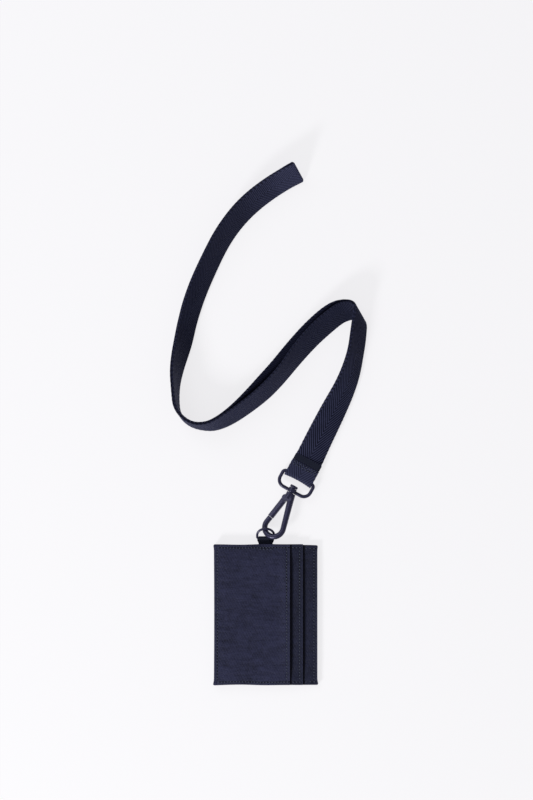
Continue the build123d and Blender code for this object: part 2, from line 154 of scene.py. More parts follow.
TAB_PLY = 0.5 * MM
TAB_FLARE = 12.0 * MM         # width of the tab beside the D-ring's bar


# ---------------------------------------------------------------- places taken from the frame

def box(node):
    low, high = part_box(node)
    return np.array(low), np.array(high)


def joint(name):
    return next(j for j in frame["record"]["behaviour"]["joints"] if j["name"] == name)


def unit(vector):
    return np.asarray(vector) / np.linalg.norm(vector, axis=-1, keepdims=True)


COLLAR = np.array(joint("swivel")["pos_m"])
AXIS = unit(np.array(joint("swivel")["axis"]))
BAR_DIR = unit(np.array(joint("strap_swing")["axis"]))
LOOP_UP = np.cross(BAR_DIR, AXIS)
LOOP_BAR = np.linalg.norm(np.array(joint("strap_swing")["pos_m"]) - COLLAR)
RING_BAR = np.array(joint("ring_swing")["pos_m"])
BACK_LOW, BACK_HIGH = box("back_panel")
BASE_LOW, BASE_HIGH = box("base_panel")
MIDDLE_LOW, MIDDLE_HIGH = box("middle_pocket")
FRONT_LOW, FRONT_HIGH = box("front_pocket")


def at_loop(across, along, up):
    """A point given from the middle of the swivel's collar."""
    return COLLAR + BAR_DIR * across + AXIS * along + LOOP_UP * up


# ---------------------------------------------------------------- meshes

def make_piece(name, verts, faces, body, attributes):
    """A smooth-shaded mesh object that rides on a body, with point attributes given by name."""
    mesh = bpy.data.meshes.new(name)
    mesh.from_pydata(np.asarray(verts).tolist(), [], faces)
    work = bmesh.new()
    work.from_mesh(mesh)
    bmesh.ops.recalc_face_normals(work, faces=work.faces)
    work.to_mesh(mesh)
    work.free()
    for key, values in attributes.items():
        layer = mesh.attributes.new(key, "FLOAT_VECTOR", "POINT")
        layer.data.foreach_set("vector", np.asarray(values, dtype=np.float32).ravel())
    mesh.shade_smooth()
    piece = bpy.data.objects.new(name, mesh)
    bpy.context.scene.collection.objects.link(piece)
    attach(piece, body)
    return piece


def ring_faces(rings, around, closed=False):
    """Quads between successive rings of points, and an end face at each open end."""
    faces = []
    for i in range(rings if closed else rings - 1):
        row, after = i * around, (i + 1) % rings * around
        faces += [
            (row + k, row + (k + 1) % around, after + (k + 1) % around, after + k)
            for k in range(around)
        ]
    if not closed:
        faces.append(tuple(range(around)))
        faces.append(tuple((rings - 1) * around + k for k in reversed(range(around))))
    return faces


def resample(line, step, closed=False):
    """Points evenly spaced along a line, and their distances from its start."""
    line = np.asarray(line, dtype=float)
    if closed:
        line = np.vstack([line, line[:1]])
    distance = np.concatenate([[0], np.cumsum(np.linalg.norm(np.diff(line, axis=0), axis=1))])
    count = max(2, round(distance[-1] / step) + 1)
    at = np.linspace(0, distance[-1], count)
    if closed:
        at = at[:-1]
    return np.stack([np.interp(at, distance, line[:, k]) for k in range(3)], axis=1), at


def smooth_step(x):
    x = np.clip(x, 0, 1)
    return x * x * (3 - 2 * x)


def rib(along, across):
    """Herringbone relief from 0 to 1: diagonal ribs that meet on the middle of the webbing."""
    return 0.5 + 0.5 * np.cos(2 * pi * (along + RIB_SLOPE * np.abs(across)) / RIB_PITCH)


def strip(name, line, rulings, thick, along, body, face=1, closed=False, relief=RIB_HEIGHT,
          fine=74, plain=16):
    """A woven strip along a line, with round selvedges and the weave's relief on its outer face."""
    line, rulings = np.asarray(line), np.asarray(rulings)
    if closed:
        tangent = unit(np.roll(line, -1, axis=0) - np.roll(line, 1, axis=0))
    else:
        tangent = unit(np.gradient(line, axis=0))
    width = np.linalg.norm(rulings, axis=1)
    wide = rulings / width[:, None]
    outward = face * unit(np.cross(wide, tangent))
    half, reach = thick / 2, width.max() / 2 - thick / 2
    turn = np.linspace(pi / 2, -pi / 2, 7)[1:-1]
    across = np.concatenate([
        np.linspace(-reach, reach, fine + 1), reach + half * np.cos(turn),
        np.linspace(reach, -reach, plain + 1), -reach - half * np.cos(turn),
    ])
    lift = np.concatenate([
        np.full(fine + 1, half), half * np.sin(turn), np.full(plain + 1, -half), -half * np.sin(turn),
    ])
    outer = (lift > half * 0.99).astype(float)
    inner = (lift < -half * 0.99).astype(float)
    edge = smooth_step((np.abs(across) - reach) / half)
    skew = np.einsum("ij,ij->i", wide, tangent)
    weave = along[:, None] + across[None, :] * skew[:, None]
    raised = relief * (rib(weave, across[None, :]) - 0.6)
    raised = raised * (outer - 0.6 * inner)[None, :]
    scallop = 0.6 * relief * np.cos(2 * pi * weave / RIB_PITCH) * (edge * np.sign(across))[None, :]
    spread = (width / width.max())[:, None] * across[None, :] + scallop
    verts = line[:, None, :] + wide[:, None, :] * spread[..., None]
    verts = verts + outward[:, None, :] * (lift[None, :] + raised)[..., None]
    count, around = verts.shape[:2]
    places = np.stack([weave, np.broadcast_to(across, weave.shape), np.broadcast_to(lift, weave.shape)],
                      axis=2)
    return make_piece(name, verts.reshape(-1, 3), ring_faces(count, around, closed), body,
                      {"weave": places.reshape(-1, 3)})


# ---------------------------------------------------------------- lanyard

def spline_line(points):
    """The NURBS spline of a route, as closely spaced points."""
    curve = bpy.data.curves.new("route", "CURVE")
    curve.dimensions = "3D"
    curve.resolution_u = 48
    spline = curve.splines.new("NURBS")
    spline.points.add(len(points) - 1)
    for point, place in zip(spline.points, points):
        point.co = (*place, 1)
    spline.order_u = 3
    spline.use_endpoint_u = True
    holder = bpy.data.objects.new("route", curve)
    mesh = bpy.data.meshes.new_from_object(holder)
    line = np.array([vertex.co[:] for vertex in mesh.vertices])
    bpy.data.objects.remove(holder)
    bpy.data.meshes.remove(mesh)
    bpy.data.curves.remove(curve)
    return line


def nearest_distance(line, at, place):
    """How far along a line its nearest point to a place seen from above is."""
    return at[np.argmin(np.hypot(line[:, 0] - place[0], line[:, 1] - place[1]))]


def standing_ruling(lean):
    """Lower edge to upper edge of webbing that stands on the floor and leans that far, in metres."""
    lean = np.asarray(lean)
    rise = np.sqrt(WEBBING_WIDTH ** 2 - lean ** 2)
    return lean[..., None] * np.array(LEAN_WAY) + rise[..., None] * np.array([0, 0, 1.0])


def smoothed(values, reach):
    """Values averaged over their neighbours on both sides, end values held."""
    blur = np.hanning(2 * reach + 3)[1:-1]
    padded = np.pad(values, ((reach, reach), (0, 0)), mode="edge")
    return np.stack([np.convolve(padded[:, k], blur / blur.sum(), "valid")
                     for k in range(values.shape[1])], axis=1)


def strap_middle():
    """The doubled strap's middle line, with distances and lower-to-upper-edge vectors along it."""
    line, at = resample(spline_line(ROUTE), STEP)
    places = [place for place, value in LEAN + TWIST]
    keys = [0.0] + [nearest_distance(line, at, place) for place in places[1:]]
    keys.append(nearest_distance(line, at, COLLAR + AXIS * (LOOP_END + BAND_LENGTH)))
    rulings = [standing_ruling(lean * MM) for place, lean in LEAN]
    rulings += [np.array(ruling) * MM for place, ruling in TWIST] + [-BAR_DIR * BAND_SQUEEZE]
    turning = np.stack([np.interp(at, keys, [r[k] for r in rulings]) for k in range(3)], axis=1)
    return line, at, smoothed(turning, TURN_BLUR)


def ply(side, line, at, turning):
    """One ply of the strap, left or right of the middle for side 1 or -1: its own middle line and rulings."""
    if side < 0:
        keys = [nearest_distance(line, at, place) for place, share in PARTING]
        share = np.interp(at, keys, [share for place, share in PARTING])
        share = smoothed(share[:, None], TURN_BLUR)
        lean = np.linalg.norm(turning[:, :2], axis=1)
        steeper = standing_ruling(np.minimum(lean, WEBBING_WIDTH * 0.99) * share[:, 0])
        steeper = np.where(share < 0.999, steeper, turning)
        line = line - turning / 2 + steeper / 2
        turning = steeper
    tangent = unit(np.gradient(line, axis=0))
    leftward = unit(np.cross(turning, tangent))
    spring = (FOLD_OFFSET - PLY_OFFSET) * (1 - smooth_step(at / FOLD_REACH))
    return line + side * leftward * (PLY_OFFSET + spring)[:, None], turning


def with_fold(points, turning, at, middle, middle_turning):
    """The left ply led round the neck fold and a little way along the right side."""
    ruling = middle_turning[0]
    along = unit(np.gradient(middle, axis=0))[0]
    left = unit(np.cross(ruling, along))
    forward = along - unit(ruling) * along.dot(unit(ruling))
    forward = forward / np.linalg.norm(forward)
    centre = middle[0]
    arc = [centre + left * FOLD_OFFSET * sin(a) - forward * FOLD_OFFSET * cos(a)
           for a in np.linspace(-pi / 2, pi / 2, 24)]
    lead = [centre - left * FOLD_OFFSET + forward * d for d in (FOLD_SEAM + 1.1 * STEP, FOLD_SEAM / 2)]
    extra, distance = resample(lead + arc, STEP / 3)
    extra, distance = extra[:-1], distance[:-1] - distance[-1]
    points = np.vstack([extra, points])
    depth = np.clip((centre - extra).dot(forward) / FOLD_OFFSET, 0, 1)
    turning = np.vstack([ruling * (1 - FOLD_PINCH * depth ** 2)[:, None], turning])
    return points, turning, np.concatenate([distance, at])


def make_lanyard():
    middle, at, turning = strap_middle()
    left_ply = ply(1, middle, at, turning)
    left_points, left_turning, left_at = with_fold(*left_ply, at, middle, turning)
    front = strip("strap_front_half", left_points, left_turning, WEBBING_THICK, left_at, "strap",
                  face=1)
    keep = at > FOLD_SEAM
    right_points, right_turning = (rows[keep] for rows in ply(-1, middle, at, turning))
    back = strip("strap_back_half", right_points, right_turning, WEBBING_THICK, -at[keep], "strap",
                 face=-1)
    for half in (front, back):
        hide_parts("neck_webbing")
        half.data.materials.append(webbing_material())
    loop = make_end_loop()
    band = make_seam_band()
    rows = make_end_stitches()


def make_end_loop():
    """The short webbing loop that is folded round the swivel's bar and sewn over the strap's end."""
    radius = BAR_HOLE + WEBBING_THICK / 2
    line = [at_loop(0, LOOP_END, radius), at_loop(0, LOOP_BAR, radius)]
    line += [at_loop(0, LOOP_BAR - radius * sin(a), radius * cos(a)) for a in np.linspace(0, pi, 25)[1:]]
    line.append(at_loop(0, LOOP_END, -radius))
    points, along = resample(line, STEP)
    rulings = np.repeat((-BAR_DIR * WEBBING_WIDTH)[None, :], len(points), axis=0)
    piece = strip("end_loop_webbing", points, rulings, WEBBING_THICK, along, "strap")
    # the fold sits tight on the middle of the bar and droops towards its ends
    for vertex in piece.data.vertices:
        from_bar = np.array(vertex.co) - COLLAR
        across = abs(from_bar.dot(BAR_DIR)) / (WEBBING_WIDTH / 2)
        near_bar = 1 - smooth_step((from_bar.dot(AXIS) - LOOP_BAR + 2 * MM) / (6 * MM))
        vertex.co += Vector(AXIS * (0.16 - 0.75 * across ** 2) * MM * near_bar)
    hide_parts("end_loop")
    piece.data.materials.append(webbing_material())
    return piece


def make_seam_band():
    """The smooth tape sleeve that covers the sewn end."""
    side = BAND_SQUEEZE / 2 + 0.15 * MM
    up = 2 * PLY_OFFSET + WEBBING_THICK - 0.25 * MM
    middle = LOOP_END + 0.3 * MM + BAND_LENGTH / 2
    corner = 1.1 * MM
    line = []
    for right, above, first in ((1, 1, 0), (-1, 1, 90), (-1, -1, 180), (1, -1, 270)):
        for turn in np.linspace(first, first + 90, 7):
            line.append(at_loop(right * (side - corner) + corner * cos(radians(turn)), middle,
                                above * (up - corner) + corner * sin(radians(turn))))
    points, along = resample(line, STEP, closed=True)
    rulings = np.repeat((AXIS * BAND_LENGTH)[None, :], len(points), axis=0)
    piece = strip("seam_band_tape", points, rulings, BAND_THICK, along, "strap", face=-1,
                  closed=True, relief=0, fine=14, plain=8)
    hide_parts("seam_band")
    piece.data.materials.append(band_material())
    return piece


# ---------------------------------------------------------------- stitches

def stitch(start, end, up):
    """One stitch: a round thread that rises out of the cloth, lies on it, and dives back in."""
    rings, around = 9, 8
    start, end = np.asarray(start), np.asarray(end)
    along = unit(end - start)
    side = np.cross(up, along)
    verts, places = [], []
    for i in range(rings):
        t = i / (rings - 1)
        arch = 1 - (2 * t - 1) ** 4
        centre = start + (end - start) * t + up * (arch * (STITCH_SINK + THREAD * 0.9) - STITCH_SINK)
        taper = THREAD * (0.72 + 0.28 * arch)
        for k in range(around):
            a = 2 * pi * k / around
            verts.append(centre + side * (taper * cos(a)) + up * (taper * 0.85 * sin(a)))
            places.append((t, a / (2 * pi), 0))
    return verts, ring_faces(rings, around), places


def seam_spans(x0, y0, x1, y1):
    """Starts and ends of a row of stitches, seen from above, each a little off its line."""
    run = hypot(x1 - x0, y1 - y0)
    count = max(1, int(run / STITCH_PITCH))
    way = np.array([x1 - x0, y1 - y0]) / run
    across = np.array([-way[1], way[0]])
    reach = way * STITCH_LENGTH / 2 + across * STITCH_TILT
    spans = []
    for k in range(count):
        sway = STITCH_SWAY * sin(k * 2.3 + x0 * 900)
        middle = np.array([x0, y0]) + way * ((k + 0.5) / count * run) + across * sway
        spans.append((middle - reach, middle + reach))
    return spans


def needle_hole(at, along, up):
    """A painted shadow for the needle hole: a low dark dome just clear of the cloth."""
    side = np.cross(up, along)
    turns = np.linspace(0, 2 * pi, HOLE_SIDES, endpoint=False)
    rim = [at + (along * cos(a) + side * sin(a)) * HOLE - up * 0.06 * MM for a in turns]
    verts = rim + [at + up * 0.05 * MM]
    faces = [(k, (k + 1) % HOLE_SIDES, HOLE_SIDES) for k in range(HOLE_SIDES)]
    faces.append(tuple(reversed(range(HOLE_SIDES))))
    return verts, faces, [(0.5, 0, 1)] * len(verts)


def make_stitches(name, node, spans, body):
    """All stitches of one CAD node; each span is its start, its end and the way up."""
    verts, faces, places = [], [], []
    for start, end, up in spans:
        start, end, up = np.asarray(start), np.asarray(end), np.asarray(up, dtype=float)
        along = unit(end - start)
        gap = along * (STITCH_PITCH - STITCH_LENGTH) / 2
        for new_verts, new_faces, new_places in (stitch(start, end, up),
                                                 needle_hole(end + gap, along, up)):
            offset = len(verts)
            faces += [tuple(i + offset for i in face) for face in new_faces]
            verts += new_verts
            places += new_places
    piece = make_piece(name, verts, faces, body, {"stitch": places})
    piece.data.materials.append(thread_material())
    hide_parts(node)
    return piece


def make_end_stitches():
    """Two rows of stitches across the end loop."""
    half = WEBBING_WIDTH / 2 - 1.2 * MM
    top = BAR_HOLE + WEBBING_THICK
    spans = []
    for inset in LOOP_ROWS:
        for start, end in seam_spans(-half, LOOP_END - inset, half, LOOP_END - inset):
            spans.append((at_loop(*start, top), at_loop(*end, top), LOOP_UP))
    return make_stitches("end_loop_stitches", "seam_stitching", spans, "strap")


# ---------------------------------------------------------------- wallet

def grid_lines(low, high, sewn):
    """Grid lines between two edges, close together at the turned edges and, if sewn, at the seams."""
    near = [0, 0.05, 0.14, 0.28, 0.46, 0.7]
    seam = [1.1, 1.6, 1.95, 2.2, 2.4, 2.6, 2.85, 3.2]
    insets = near + (seam if sewn else [])
    first = [low + d * MM for d in insets]
    last = [high - d * MM for d in reversed(insets)]
    count = max(2, round((last[0] - first[-1]) / PANEL_STEP))
    return np.array(first + list(np.linspace(first[-1], last[0], count + 1)[1:-1]) + last)


def bump_at(distance, place, width):
    return np.exp(-((distance - place) / width) ** 2)


def flare(x, y):
    """How the wallet's corners nub outwards and its long edges wander, as moves in x and y."""
    low, high = BASE_LOW, MIDDLE_HIGH
    side = np.clip(x / (BASE_HIGH[0]), -1, 1)
    foot = np.exp(-((y - low[1]) / (2.6 * MM)) ** 2)
    head = np.exp(-((y - high[1]) / (2.4 * MM)) ** 2)
    move_x = side ** 9 * (0.65 * foot + 0.45 * head) * MM
    move_x = move_x - np.minimum(side, 0) ** 5 * 0.2 * MM * np.cos(pi * y / (high[1] - low[1]))
    ends = (y / high[1]) ** 7
    wave = 0.16 * np.sin(x * 95 + 0.6) + 0.1 * np.sin(x * 210 + 2.0)
    rise = 0.35 * foot * (1 - side ** 8)
    return move_x, (ends * wave + rise) * MM


def cloth_wave(x, y, seed):
    """Slow unevenness of the cloth, within 1 of level."""
    return (0.5 * np.sin(x * 140 + seed) * np.sin(y * 95 + 2 * seed)
            + 0.3 * np.sin(x * 60 - y * 170 + 3 * seed) + 0.2 * np.sin(x * 260 + y * 120 + seed))


class Panel:
    """One cloth-covered panel: a plate with turned edges, its sewn margin pressed down.

    plate is the height of its underside inside the margin. puff is how far the middle swells and gape how
    far the mouth stands open, in millimetres. beside is where, along x, the mouth of the panel on top of
    this one lies; the outermost panel has none on top.
    """

    def __init__(self, name, low, high, plate, seed, sewn=True, puff=0.0, gape=0.0, beside=-1.0,
                 outermost=False):
        self.name, self.low, self.high, self.plate, self.seed = name, low, high, plate, seed
        self.sewn, self.puff, self.gape = sewn, puff, gape
        self.beside, self.outermost = beside, outermost

    def distances(self, x, y):
        return x - self.low[0], self.high[0] - x, y - self.low[1], self.high[1] - y

    def lift(self, right, bottom, top):
        """How far the cloth stands up towards its open mouth, away from the sewn ends."""
        held = smooth_step((np.minimum(bottom, top) - RIM) / (14 * MM))
        return self.gape * MM * held * (1 - smooth_step(right / (9 * MM)))

    def top(self, x, y):
        left, right, bottom, top = self.distances(x, y)
        closed = np.minimum(np.minimum(left, bottom), top)
        nearest = np.minimum(closed, right)
        z = self.high[2] + self.lift(right, bottom, top)
        z = z + self.puff * MM * smooth_step((closed - 2 * MM) / (9 * MM))
        z = z + 0.10 * MM * cloth_wave(x, y, self.seed) * smooth_step((nearest - 1 * MM) / (8 * MM))
        if self.sewn:
            z = z - 0.16 * MM * (1 - smooth_step((closed - 1.0 * MM) / (3.2 * MM)))
            for distance, along in ((left, y), (bottom, x), (top, x), (right, y)):
                pull = 0.13 + 0.05 * np.cos(2 * pi * along / STITCH_PITCH)
                z = z - pull * MM * bump_at(distance, SEAM_INSET, 0.42 * MM)
                z = z + 0.07 * MM * bump_at(distance, SEAM_INSET - 1.1 * MM, 0.6 * MM)
        edge = np.clip(1 - nearest / TURNED_EDGE, 0, 1)
        return z - TURNED_EDGE * (1 - np.sqrt(1 - 0.98 * edge ** 2))

    def bottom(self, x, y):
        left, right, bottom, top = self.distances(x, y)
        closed = np.minimum(np.minimum(left, bottom), top)
        nearest = np.minimum(closed, right)
        open_part = smooth_step((closed - RIM) / (1.0 * MM))
        z = self.low[2] + (self.plate - self.low[2]) * open_part + self.lift(right, bottom, top)
        edge = np.clip(1 - nearest / LOWER_EDGE, 0, 1)
        return z + LOWER_EDGE * (1 - np.sqrt(1 - 0.98 * edge ** 2))

    def place(self, x, y):
        """Where a point of the plain rectangle goes: corners rounded and flared."""
        for corner_x, corner_y in ((self.low[0], self.low[1]), (self.low[0], self.high[1]),
                                   (self.high[0], self.low[1]), (self.high[0], self.high[1])):
            radius = CORNER if corner_x in (BASE_LOW[0], BASE_HIGH[0]) else POCKET_CORNER
            inward_x = 1.0 if corner_x == self.low[0] else -1.0
            inward_y = 1.0 if corner_y == self.low[1] else -1.0
            u, v = radius - (x - corner_x) * inward_x, radius - (y - corner_y) * inward_y
            inside = (u > 0) & (v > 0)
            scale = np.where(inside, np.maximum(u, v) / np.maximum(np.hypot(u, v), 1e-9), 1)
            x = np.where(inside, corner_x + (radius - u * scale) * inward_x, x)
            y = np.where(inside, corner_y + (radius - v * scale) * inward_y, y)
        move_x, move_y = flare(x, y)
        return x + move_x, y + move_y

    def point(self, x, y):
        """The point of the top face over a place on the plain rectangle."""
        placed_x, placed_y = self.place(np.array(x), np.array(y))
        return np.array([float(placed_x), float(placed_y), float(self.top(np.array(x), np.array(y)))])

    def build(self):
        xs = grid_lines(self.low[0], self.high[0], self.sewn)
        ys = grid_lines(self.low[1], self.high[1], self.sewn)
        x, y = np.meshgrid(xs, ys, indexing="ij")
        placed_x, placed_y = self.place(x, y)
        upper = np.stack([placed_x, placed_y, self.top(x, y)], axis=2)
        lower = np.stack([placed_x, placed_y, self.bottom(x, y)], axis=2)
        rows, columns = x.shape
        size = rows * columns
        faces = []
        for i in range(rows - 1):
            for j in range(columns - 1):
                a, b = i * columns + j, (i + 1) * columns + j
                faces.append((a, b, b + 1, a + 1))
                faces.append((size + a, size + a + 1, size + b + 1, size + b))
        rim = [i * columns for i in range(rows)]
        rim += [(rows - 1) * columns + j for j in range(1, columns)]
        rim += [i * columns + columns - 1 for i in range(rows - 2, -1, -1)]
        rim += list(range(columns - 2, 0, -1))
        for a, b in zip(rim, rim[1:] + rim[:1]):
            faces.append((a, size + a, size + b, b))
        left, right, bottom, top = self.distances(x, y)
        closed = np.minimum(np.minimum(left, bottom), top)
        nearest = np.minimum(closed, right)
        seam = np.abs((nearest if self.sewn else closed) - SEAM_INSET)
        edges = np.stack([nearest, seam, right], axis=2).reshape(-1, 3)
        # tone: x is 1 on the outermost panel, which alone keeps the lit colour while the others get painted
        # shade; y is the distance from the mouth of the panel on top, where a painted shadow falls
        outer = np.full(x.shape, float(self.outermost))
        tone = np.stack([outer, x - self.beside, 0 * x], axis=2).reshape(-1, 3)
        return make_piece(self.name, np.vstack([upper.reshape(-1, 3), lower.reshape(-1, 3)]), faces,
                          "wallet",
                          {"edges": np.vstack([edges, edges]), "tone": np.vstack([tone, tone])})


def make_wallet():
    """The four panels, their stitching, and the tab."""
    panels = {
        "back_panel": Panel("back_cloth", BACK_LOW, BACK_HIGH, BACK_LOW[2], 0.4, sewn=False),
        "base_panel": Panel("base_pocket_cloth", BASE_LOW, BASE_HIGH, BASE_HIGH[2] - PANEL_THICK, 1.3,
                            puff=0.05, gape=0.3, beside=MIDDLE_HIGH[0]),
        "middle_pocket": Panel("middle_pocket_cloth", MIDDLE_LOW, MIDDLE_HIGH,
                               MIDDLE_HIGH[2] - PANEL_THICK, 2.2, puff=0.05, gape=0.6,
                               beside=FRONT_HIGH[0]),
        "front_pocket": Panel("front_pocket_cloth", FRONT_LOW, FRONT_HIGH, FRONT_HIGH[2] - PANEL_THICK,
                              3.7, puff=0.22, gape=0.9, outermost=True),
    }
    for node, panel in panels.items():
        piece = panel.build()
        piece.data.materials.append(shell_material())
        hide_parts(node)
    make_wallet_stitches(panels["base_panel"], panels["middle_pocket"], panels["front_pocket"])
    make_tab()


def spans_on(panel, x0, y0, x1, y1):
    """A row of stitches on a panel's face, given on its plain rectangle."""
    return [(panel.point(*start), panel.point(*end), (0, 0, 1))
            for start, end in seam_spans(x0, y0, x1, y1)]


def make_wallet_stitches(base, middle, front):
    left = FRONT_LOW[0] + SEAM_INSET
    low, high = FRONT_LOW[1] + SEAM_INSET, FRONT_HIGH[1] - SEAM_INSET
    spans = spans_on(front, left, high - 1.5 * MM, left, low + 1.5 * MM)
    mouths = ((front, left, FRONT_HIGH[0]), (middle, FRONT_HIGH[0], MIDDLE_HIGH[0]),
              (base, MIDDLE_HIGH[0], BASE_HIGH[0]))
    for panel, start, mouth in mouths:
        first = start if panel is front else start + 1 * MM
        for row in (low, min(high, panel.high[1] - SEAM_INSET)):
            spans += spans_on(panel, first, row, mouth - 1 * MM, row)
    make_stitches("perimeter_stitches", "perimeter_stitching", spans, "wallet")
    for panel, node in ((front, "front_mouth_stitching"), (middle, "middle_mouth_stitching"),
                        (base, "base_mouth_stitching")):
        x = panel.high[0] - SEAM_INSET
        spans = spans_on(panel, x, low + 1.5 * MM, x, high - 1.5 * MM)
        make_stitches(node.replace("stitching", "stitches"), node, spans, "wallet")
    row = high - 1.1 * MM
    spans = spans_on(front, -TAB_WIDTH / 2, row, TAB_WIDTH / 2, row)
    make_stitches("tab_stitches", "tab_stitching", spans, "wallet")


def make_tab():
    """The ribbon tab: two plies out of the main slot, round the D-ring's bar."""
    low = box("ring_tab")[0]
    bar_y, bar_z = RING_BAR[1], RING_BAR[2]
    slot_low = box("back_lining")[1][2]
    radius = 1.25 * MM
    lower, upper = slot_low + TAB_PLY / 2, slot_low + 1.5 * TAB_PLY
    edge = BASE_HIGH[1] + 0.8 * MM
    points = [(0, low[1], lower), (0, edge, lower)]
    turns = np.linspace(1.2, 2 * pi - 1.2, 30)
    points += [(0, bar_y - radius * cos(a), bar_z - radius * sin(a)) for a in turns]
    points += [(0, edge, upper), (0, low[1], upper)]
    line, along = resample(points, 0.12 * MM)
    blur = np.ones(7) / 7
    padded = np.pad(line, ((3, 3), (0, 0)), mode="edge")
    line = np.stack([np.convolve(padded[:, k], blur, "valid") for k in range(3)], axis=1)
    spread = smooth_step((line[:, 1] - edge) / (bar_y - 1.0 * MM - edge))
    gathered = smooth_step((line[:, 1] - bar_y + 0.95 * MM) / (0.65 * MM))
    width = TAB_WIDTH + (TAB_FLARE - TAB_WIDTH) * (spread - gathered)
    rulings = -width[:, None] * np.array([[1.0, 0, 0]])
    piece = strip("ring_tab_ribbon", line, rulings, TAB_PLY - 0.04 * MM, along, "wallet",
                  relief=0, fine=30, plain=12)
    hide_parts("ring_tab")
    piece.data.materials.append(ribbon_material())


# ---------------------------------------------------------------- materials

class Shader:
    """A material's node tree around one Principled shader, with short calls for what it uses."""

    def __init__(self, name, sockets):
        self.material = bpy.data.materials.new(name)
        self.material.use_nodes = True
        self.nodes = self.material.node_tree.nodes
        self.links = self.material.node_tree.links
        self.principled = self.nodes["Principled BSDF"]
        for key, value in sockets.items():
            self.principled.inputs[key].default_value = value

    def put(self, value, socket):
        if isinstance(value, bpy.types.NodeSocket):
            self.links.new(value, socket)
        else:
            socket.default_value = value

    def math(self, operation, *values):
        node = self.nodes.new("ShaderNodeMath")
        node.operation = operation
        for value, socket in zip(values, node.inputs):
            self.put(value, socket)
        return node.outputs[0]

    def ramp(self, value, low, high, to_low=0.0, to_high=1.0):
        """A value carried smoothly from one range to another."""
        node = self.nodes.new("ShaderNodeMapRange")
        node.interpolation_type = "SMOOTHSTEP"
        for socket, number in zip(node.inputs, (value, low, high, to_low, to_high)):
            self.put(number, socket)
        return node.outputs[0]

    def mix(self, factor, first, second):
        node = self.nodes.new("ShaderNodeMix")
        node.data_type = "RGBA"
        self.put(factor, node.inputs["Factor"])
        self.put(first, node.inputs[6])
        self.put(second, node.inputs[7])
        return node.outputs[2]

    def noise(self, vector, scale, detail=2.0, roughness=0.5):
        node = self.nodes.new("ShaderNodeTexNoise")
        node.inputs["Scale"].default_value = scale
        node.inputs["Detail"].default_value = detail
        node.inputs["Roughness"].default_value = roughness
        self.links.new(vector, node.inputs["Vector"])
        return node.outputs[0]

    def attribute(self, name):
        """A point attribute as a vector, and its three parts."""
        node = self.nodes.new("ShaderNodeAttribute")
        node.attribute_name = name
        return node.outputs["Vector"], *self.split(node.outputs["Vector"])

    def split(self, vector):
        node = self.nodes.new("ShaderNodeSeparateXYZ")
        self.links.new(vector, node.inputs[0])
        return node.outputs

    def place(self):
        """Coordinates fixed to the piece as a vector, and its three parts."""
        node = self.nodes.new("ShaderNodeTexCoord")
        return node.outputs["Object"], *self.split(node.outputs["Object"])

    def stretched(self, x, y, z, share):
        """Coordinates in which patterns are drawn out along x."""
        node = self.nodes.new("ShaderNodeCombineXYZ")
        for value, socket in zip((self.math("MULTIPLY", x, share), y, z), node.inputs):
            self.put(value, socket)
        return node.outputs[0]

    def wave(self, value, pitch, phase=0.0):
        """A cosine from 0 to 1 along a value."""
        turns = self.math("MULTIPLY_ADD", value, 2 * pi / pitch, phase)
        return self.math("MULTIPLY_ADD", self.math("COSINE", turns), 0.5, 0.5)

    def bump(self, height, distance, strength, normal=None):
        node = self.nodes.new("ShaderNodeBump")
        node.inputs["Distance"].default_value = distance
        node.inputs["Strength"].default_value = strength
        self.links.new(height, node.inputs["Height"])
        if normal is not None:
            self.links.new(normal, node.inputs["Normal"])
        return node.outputs[0]

    def finish(self, shade, rough, normal=None):
        for value, name in ((shade, "Base Color"), (rough, "Roughness"), (normal, "Normal")):
            if value is not None:
                self.links.new(value, self.principled.inputs[name])
        return self.material


def colour(red, green, blue):
    return (red, green, blue, 1.0)


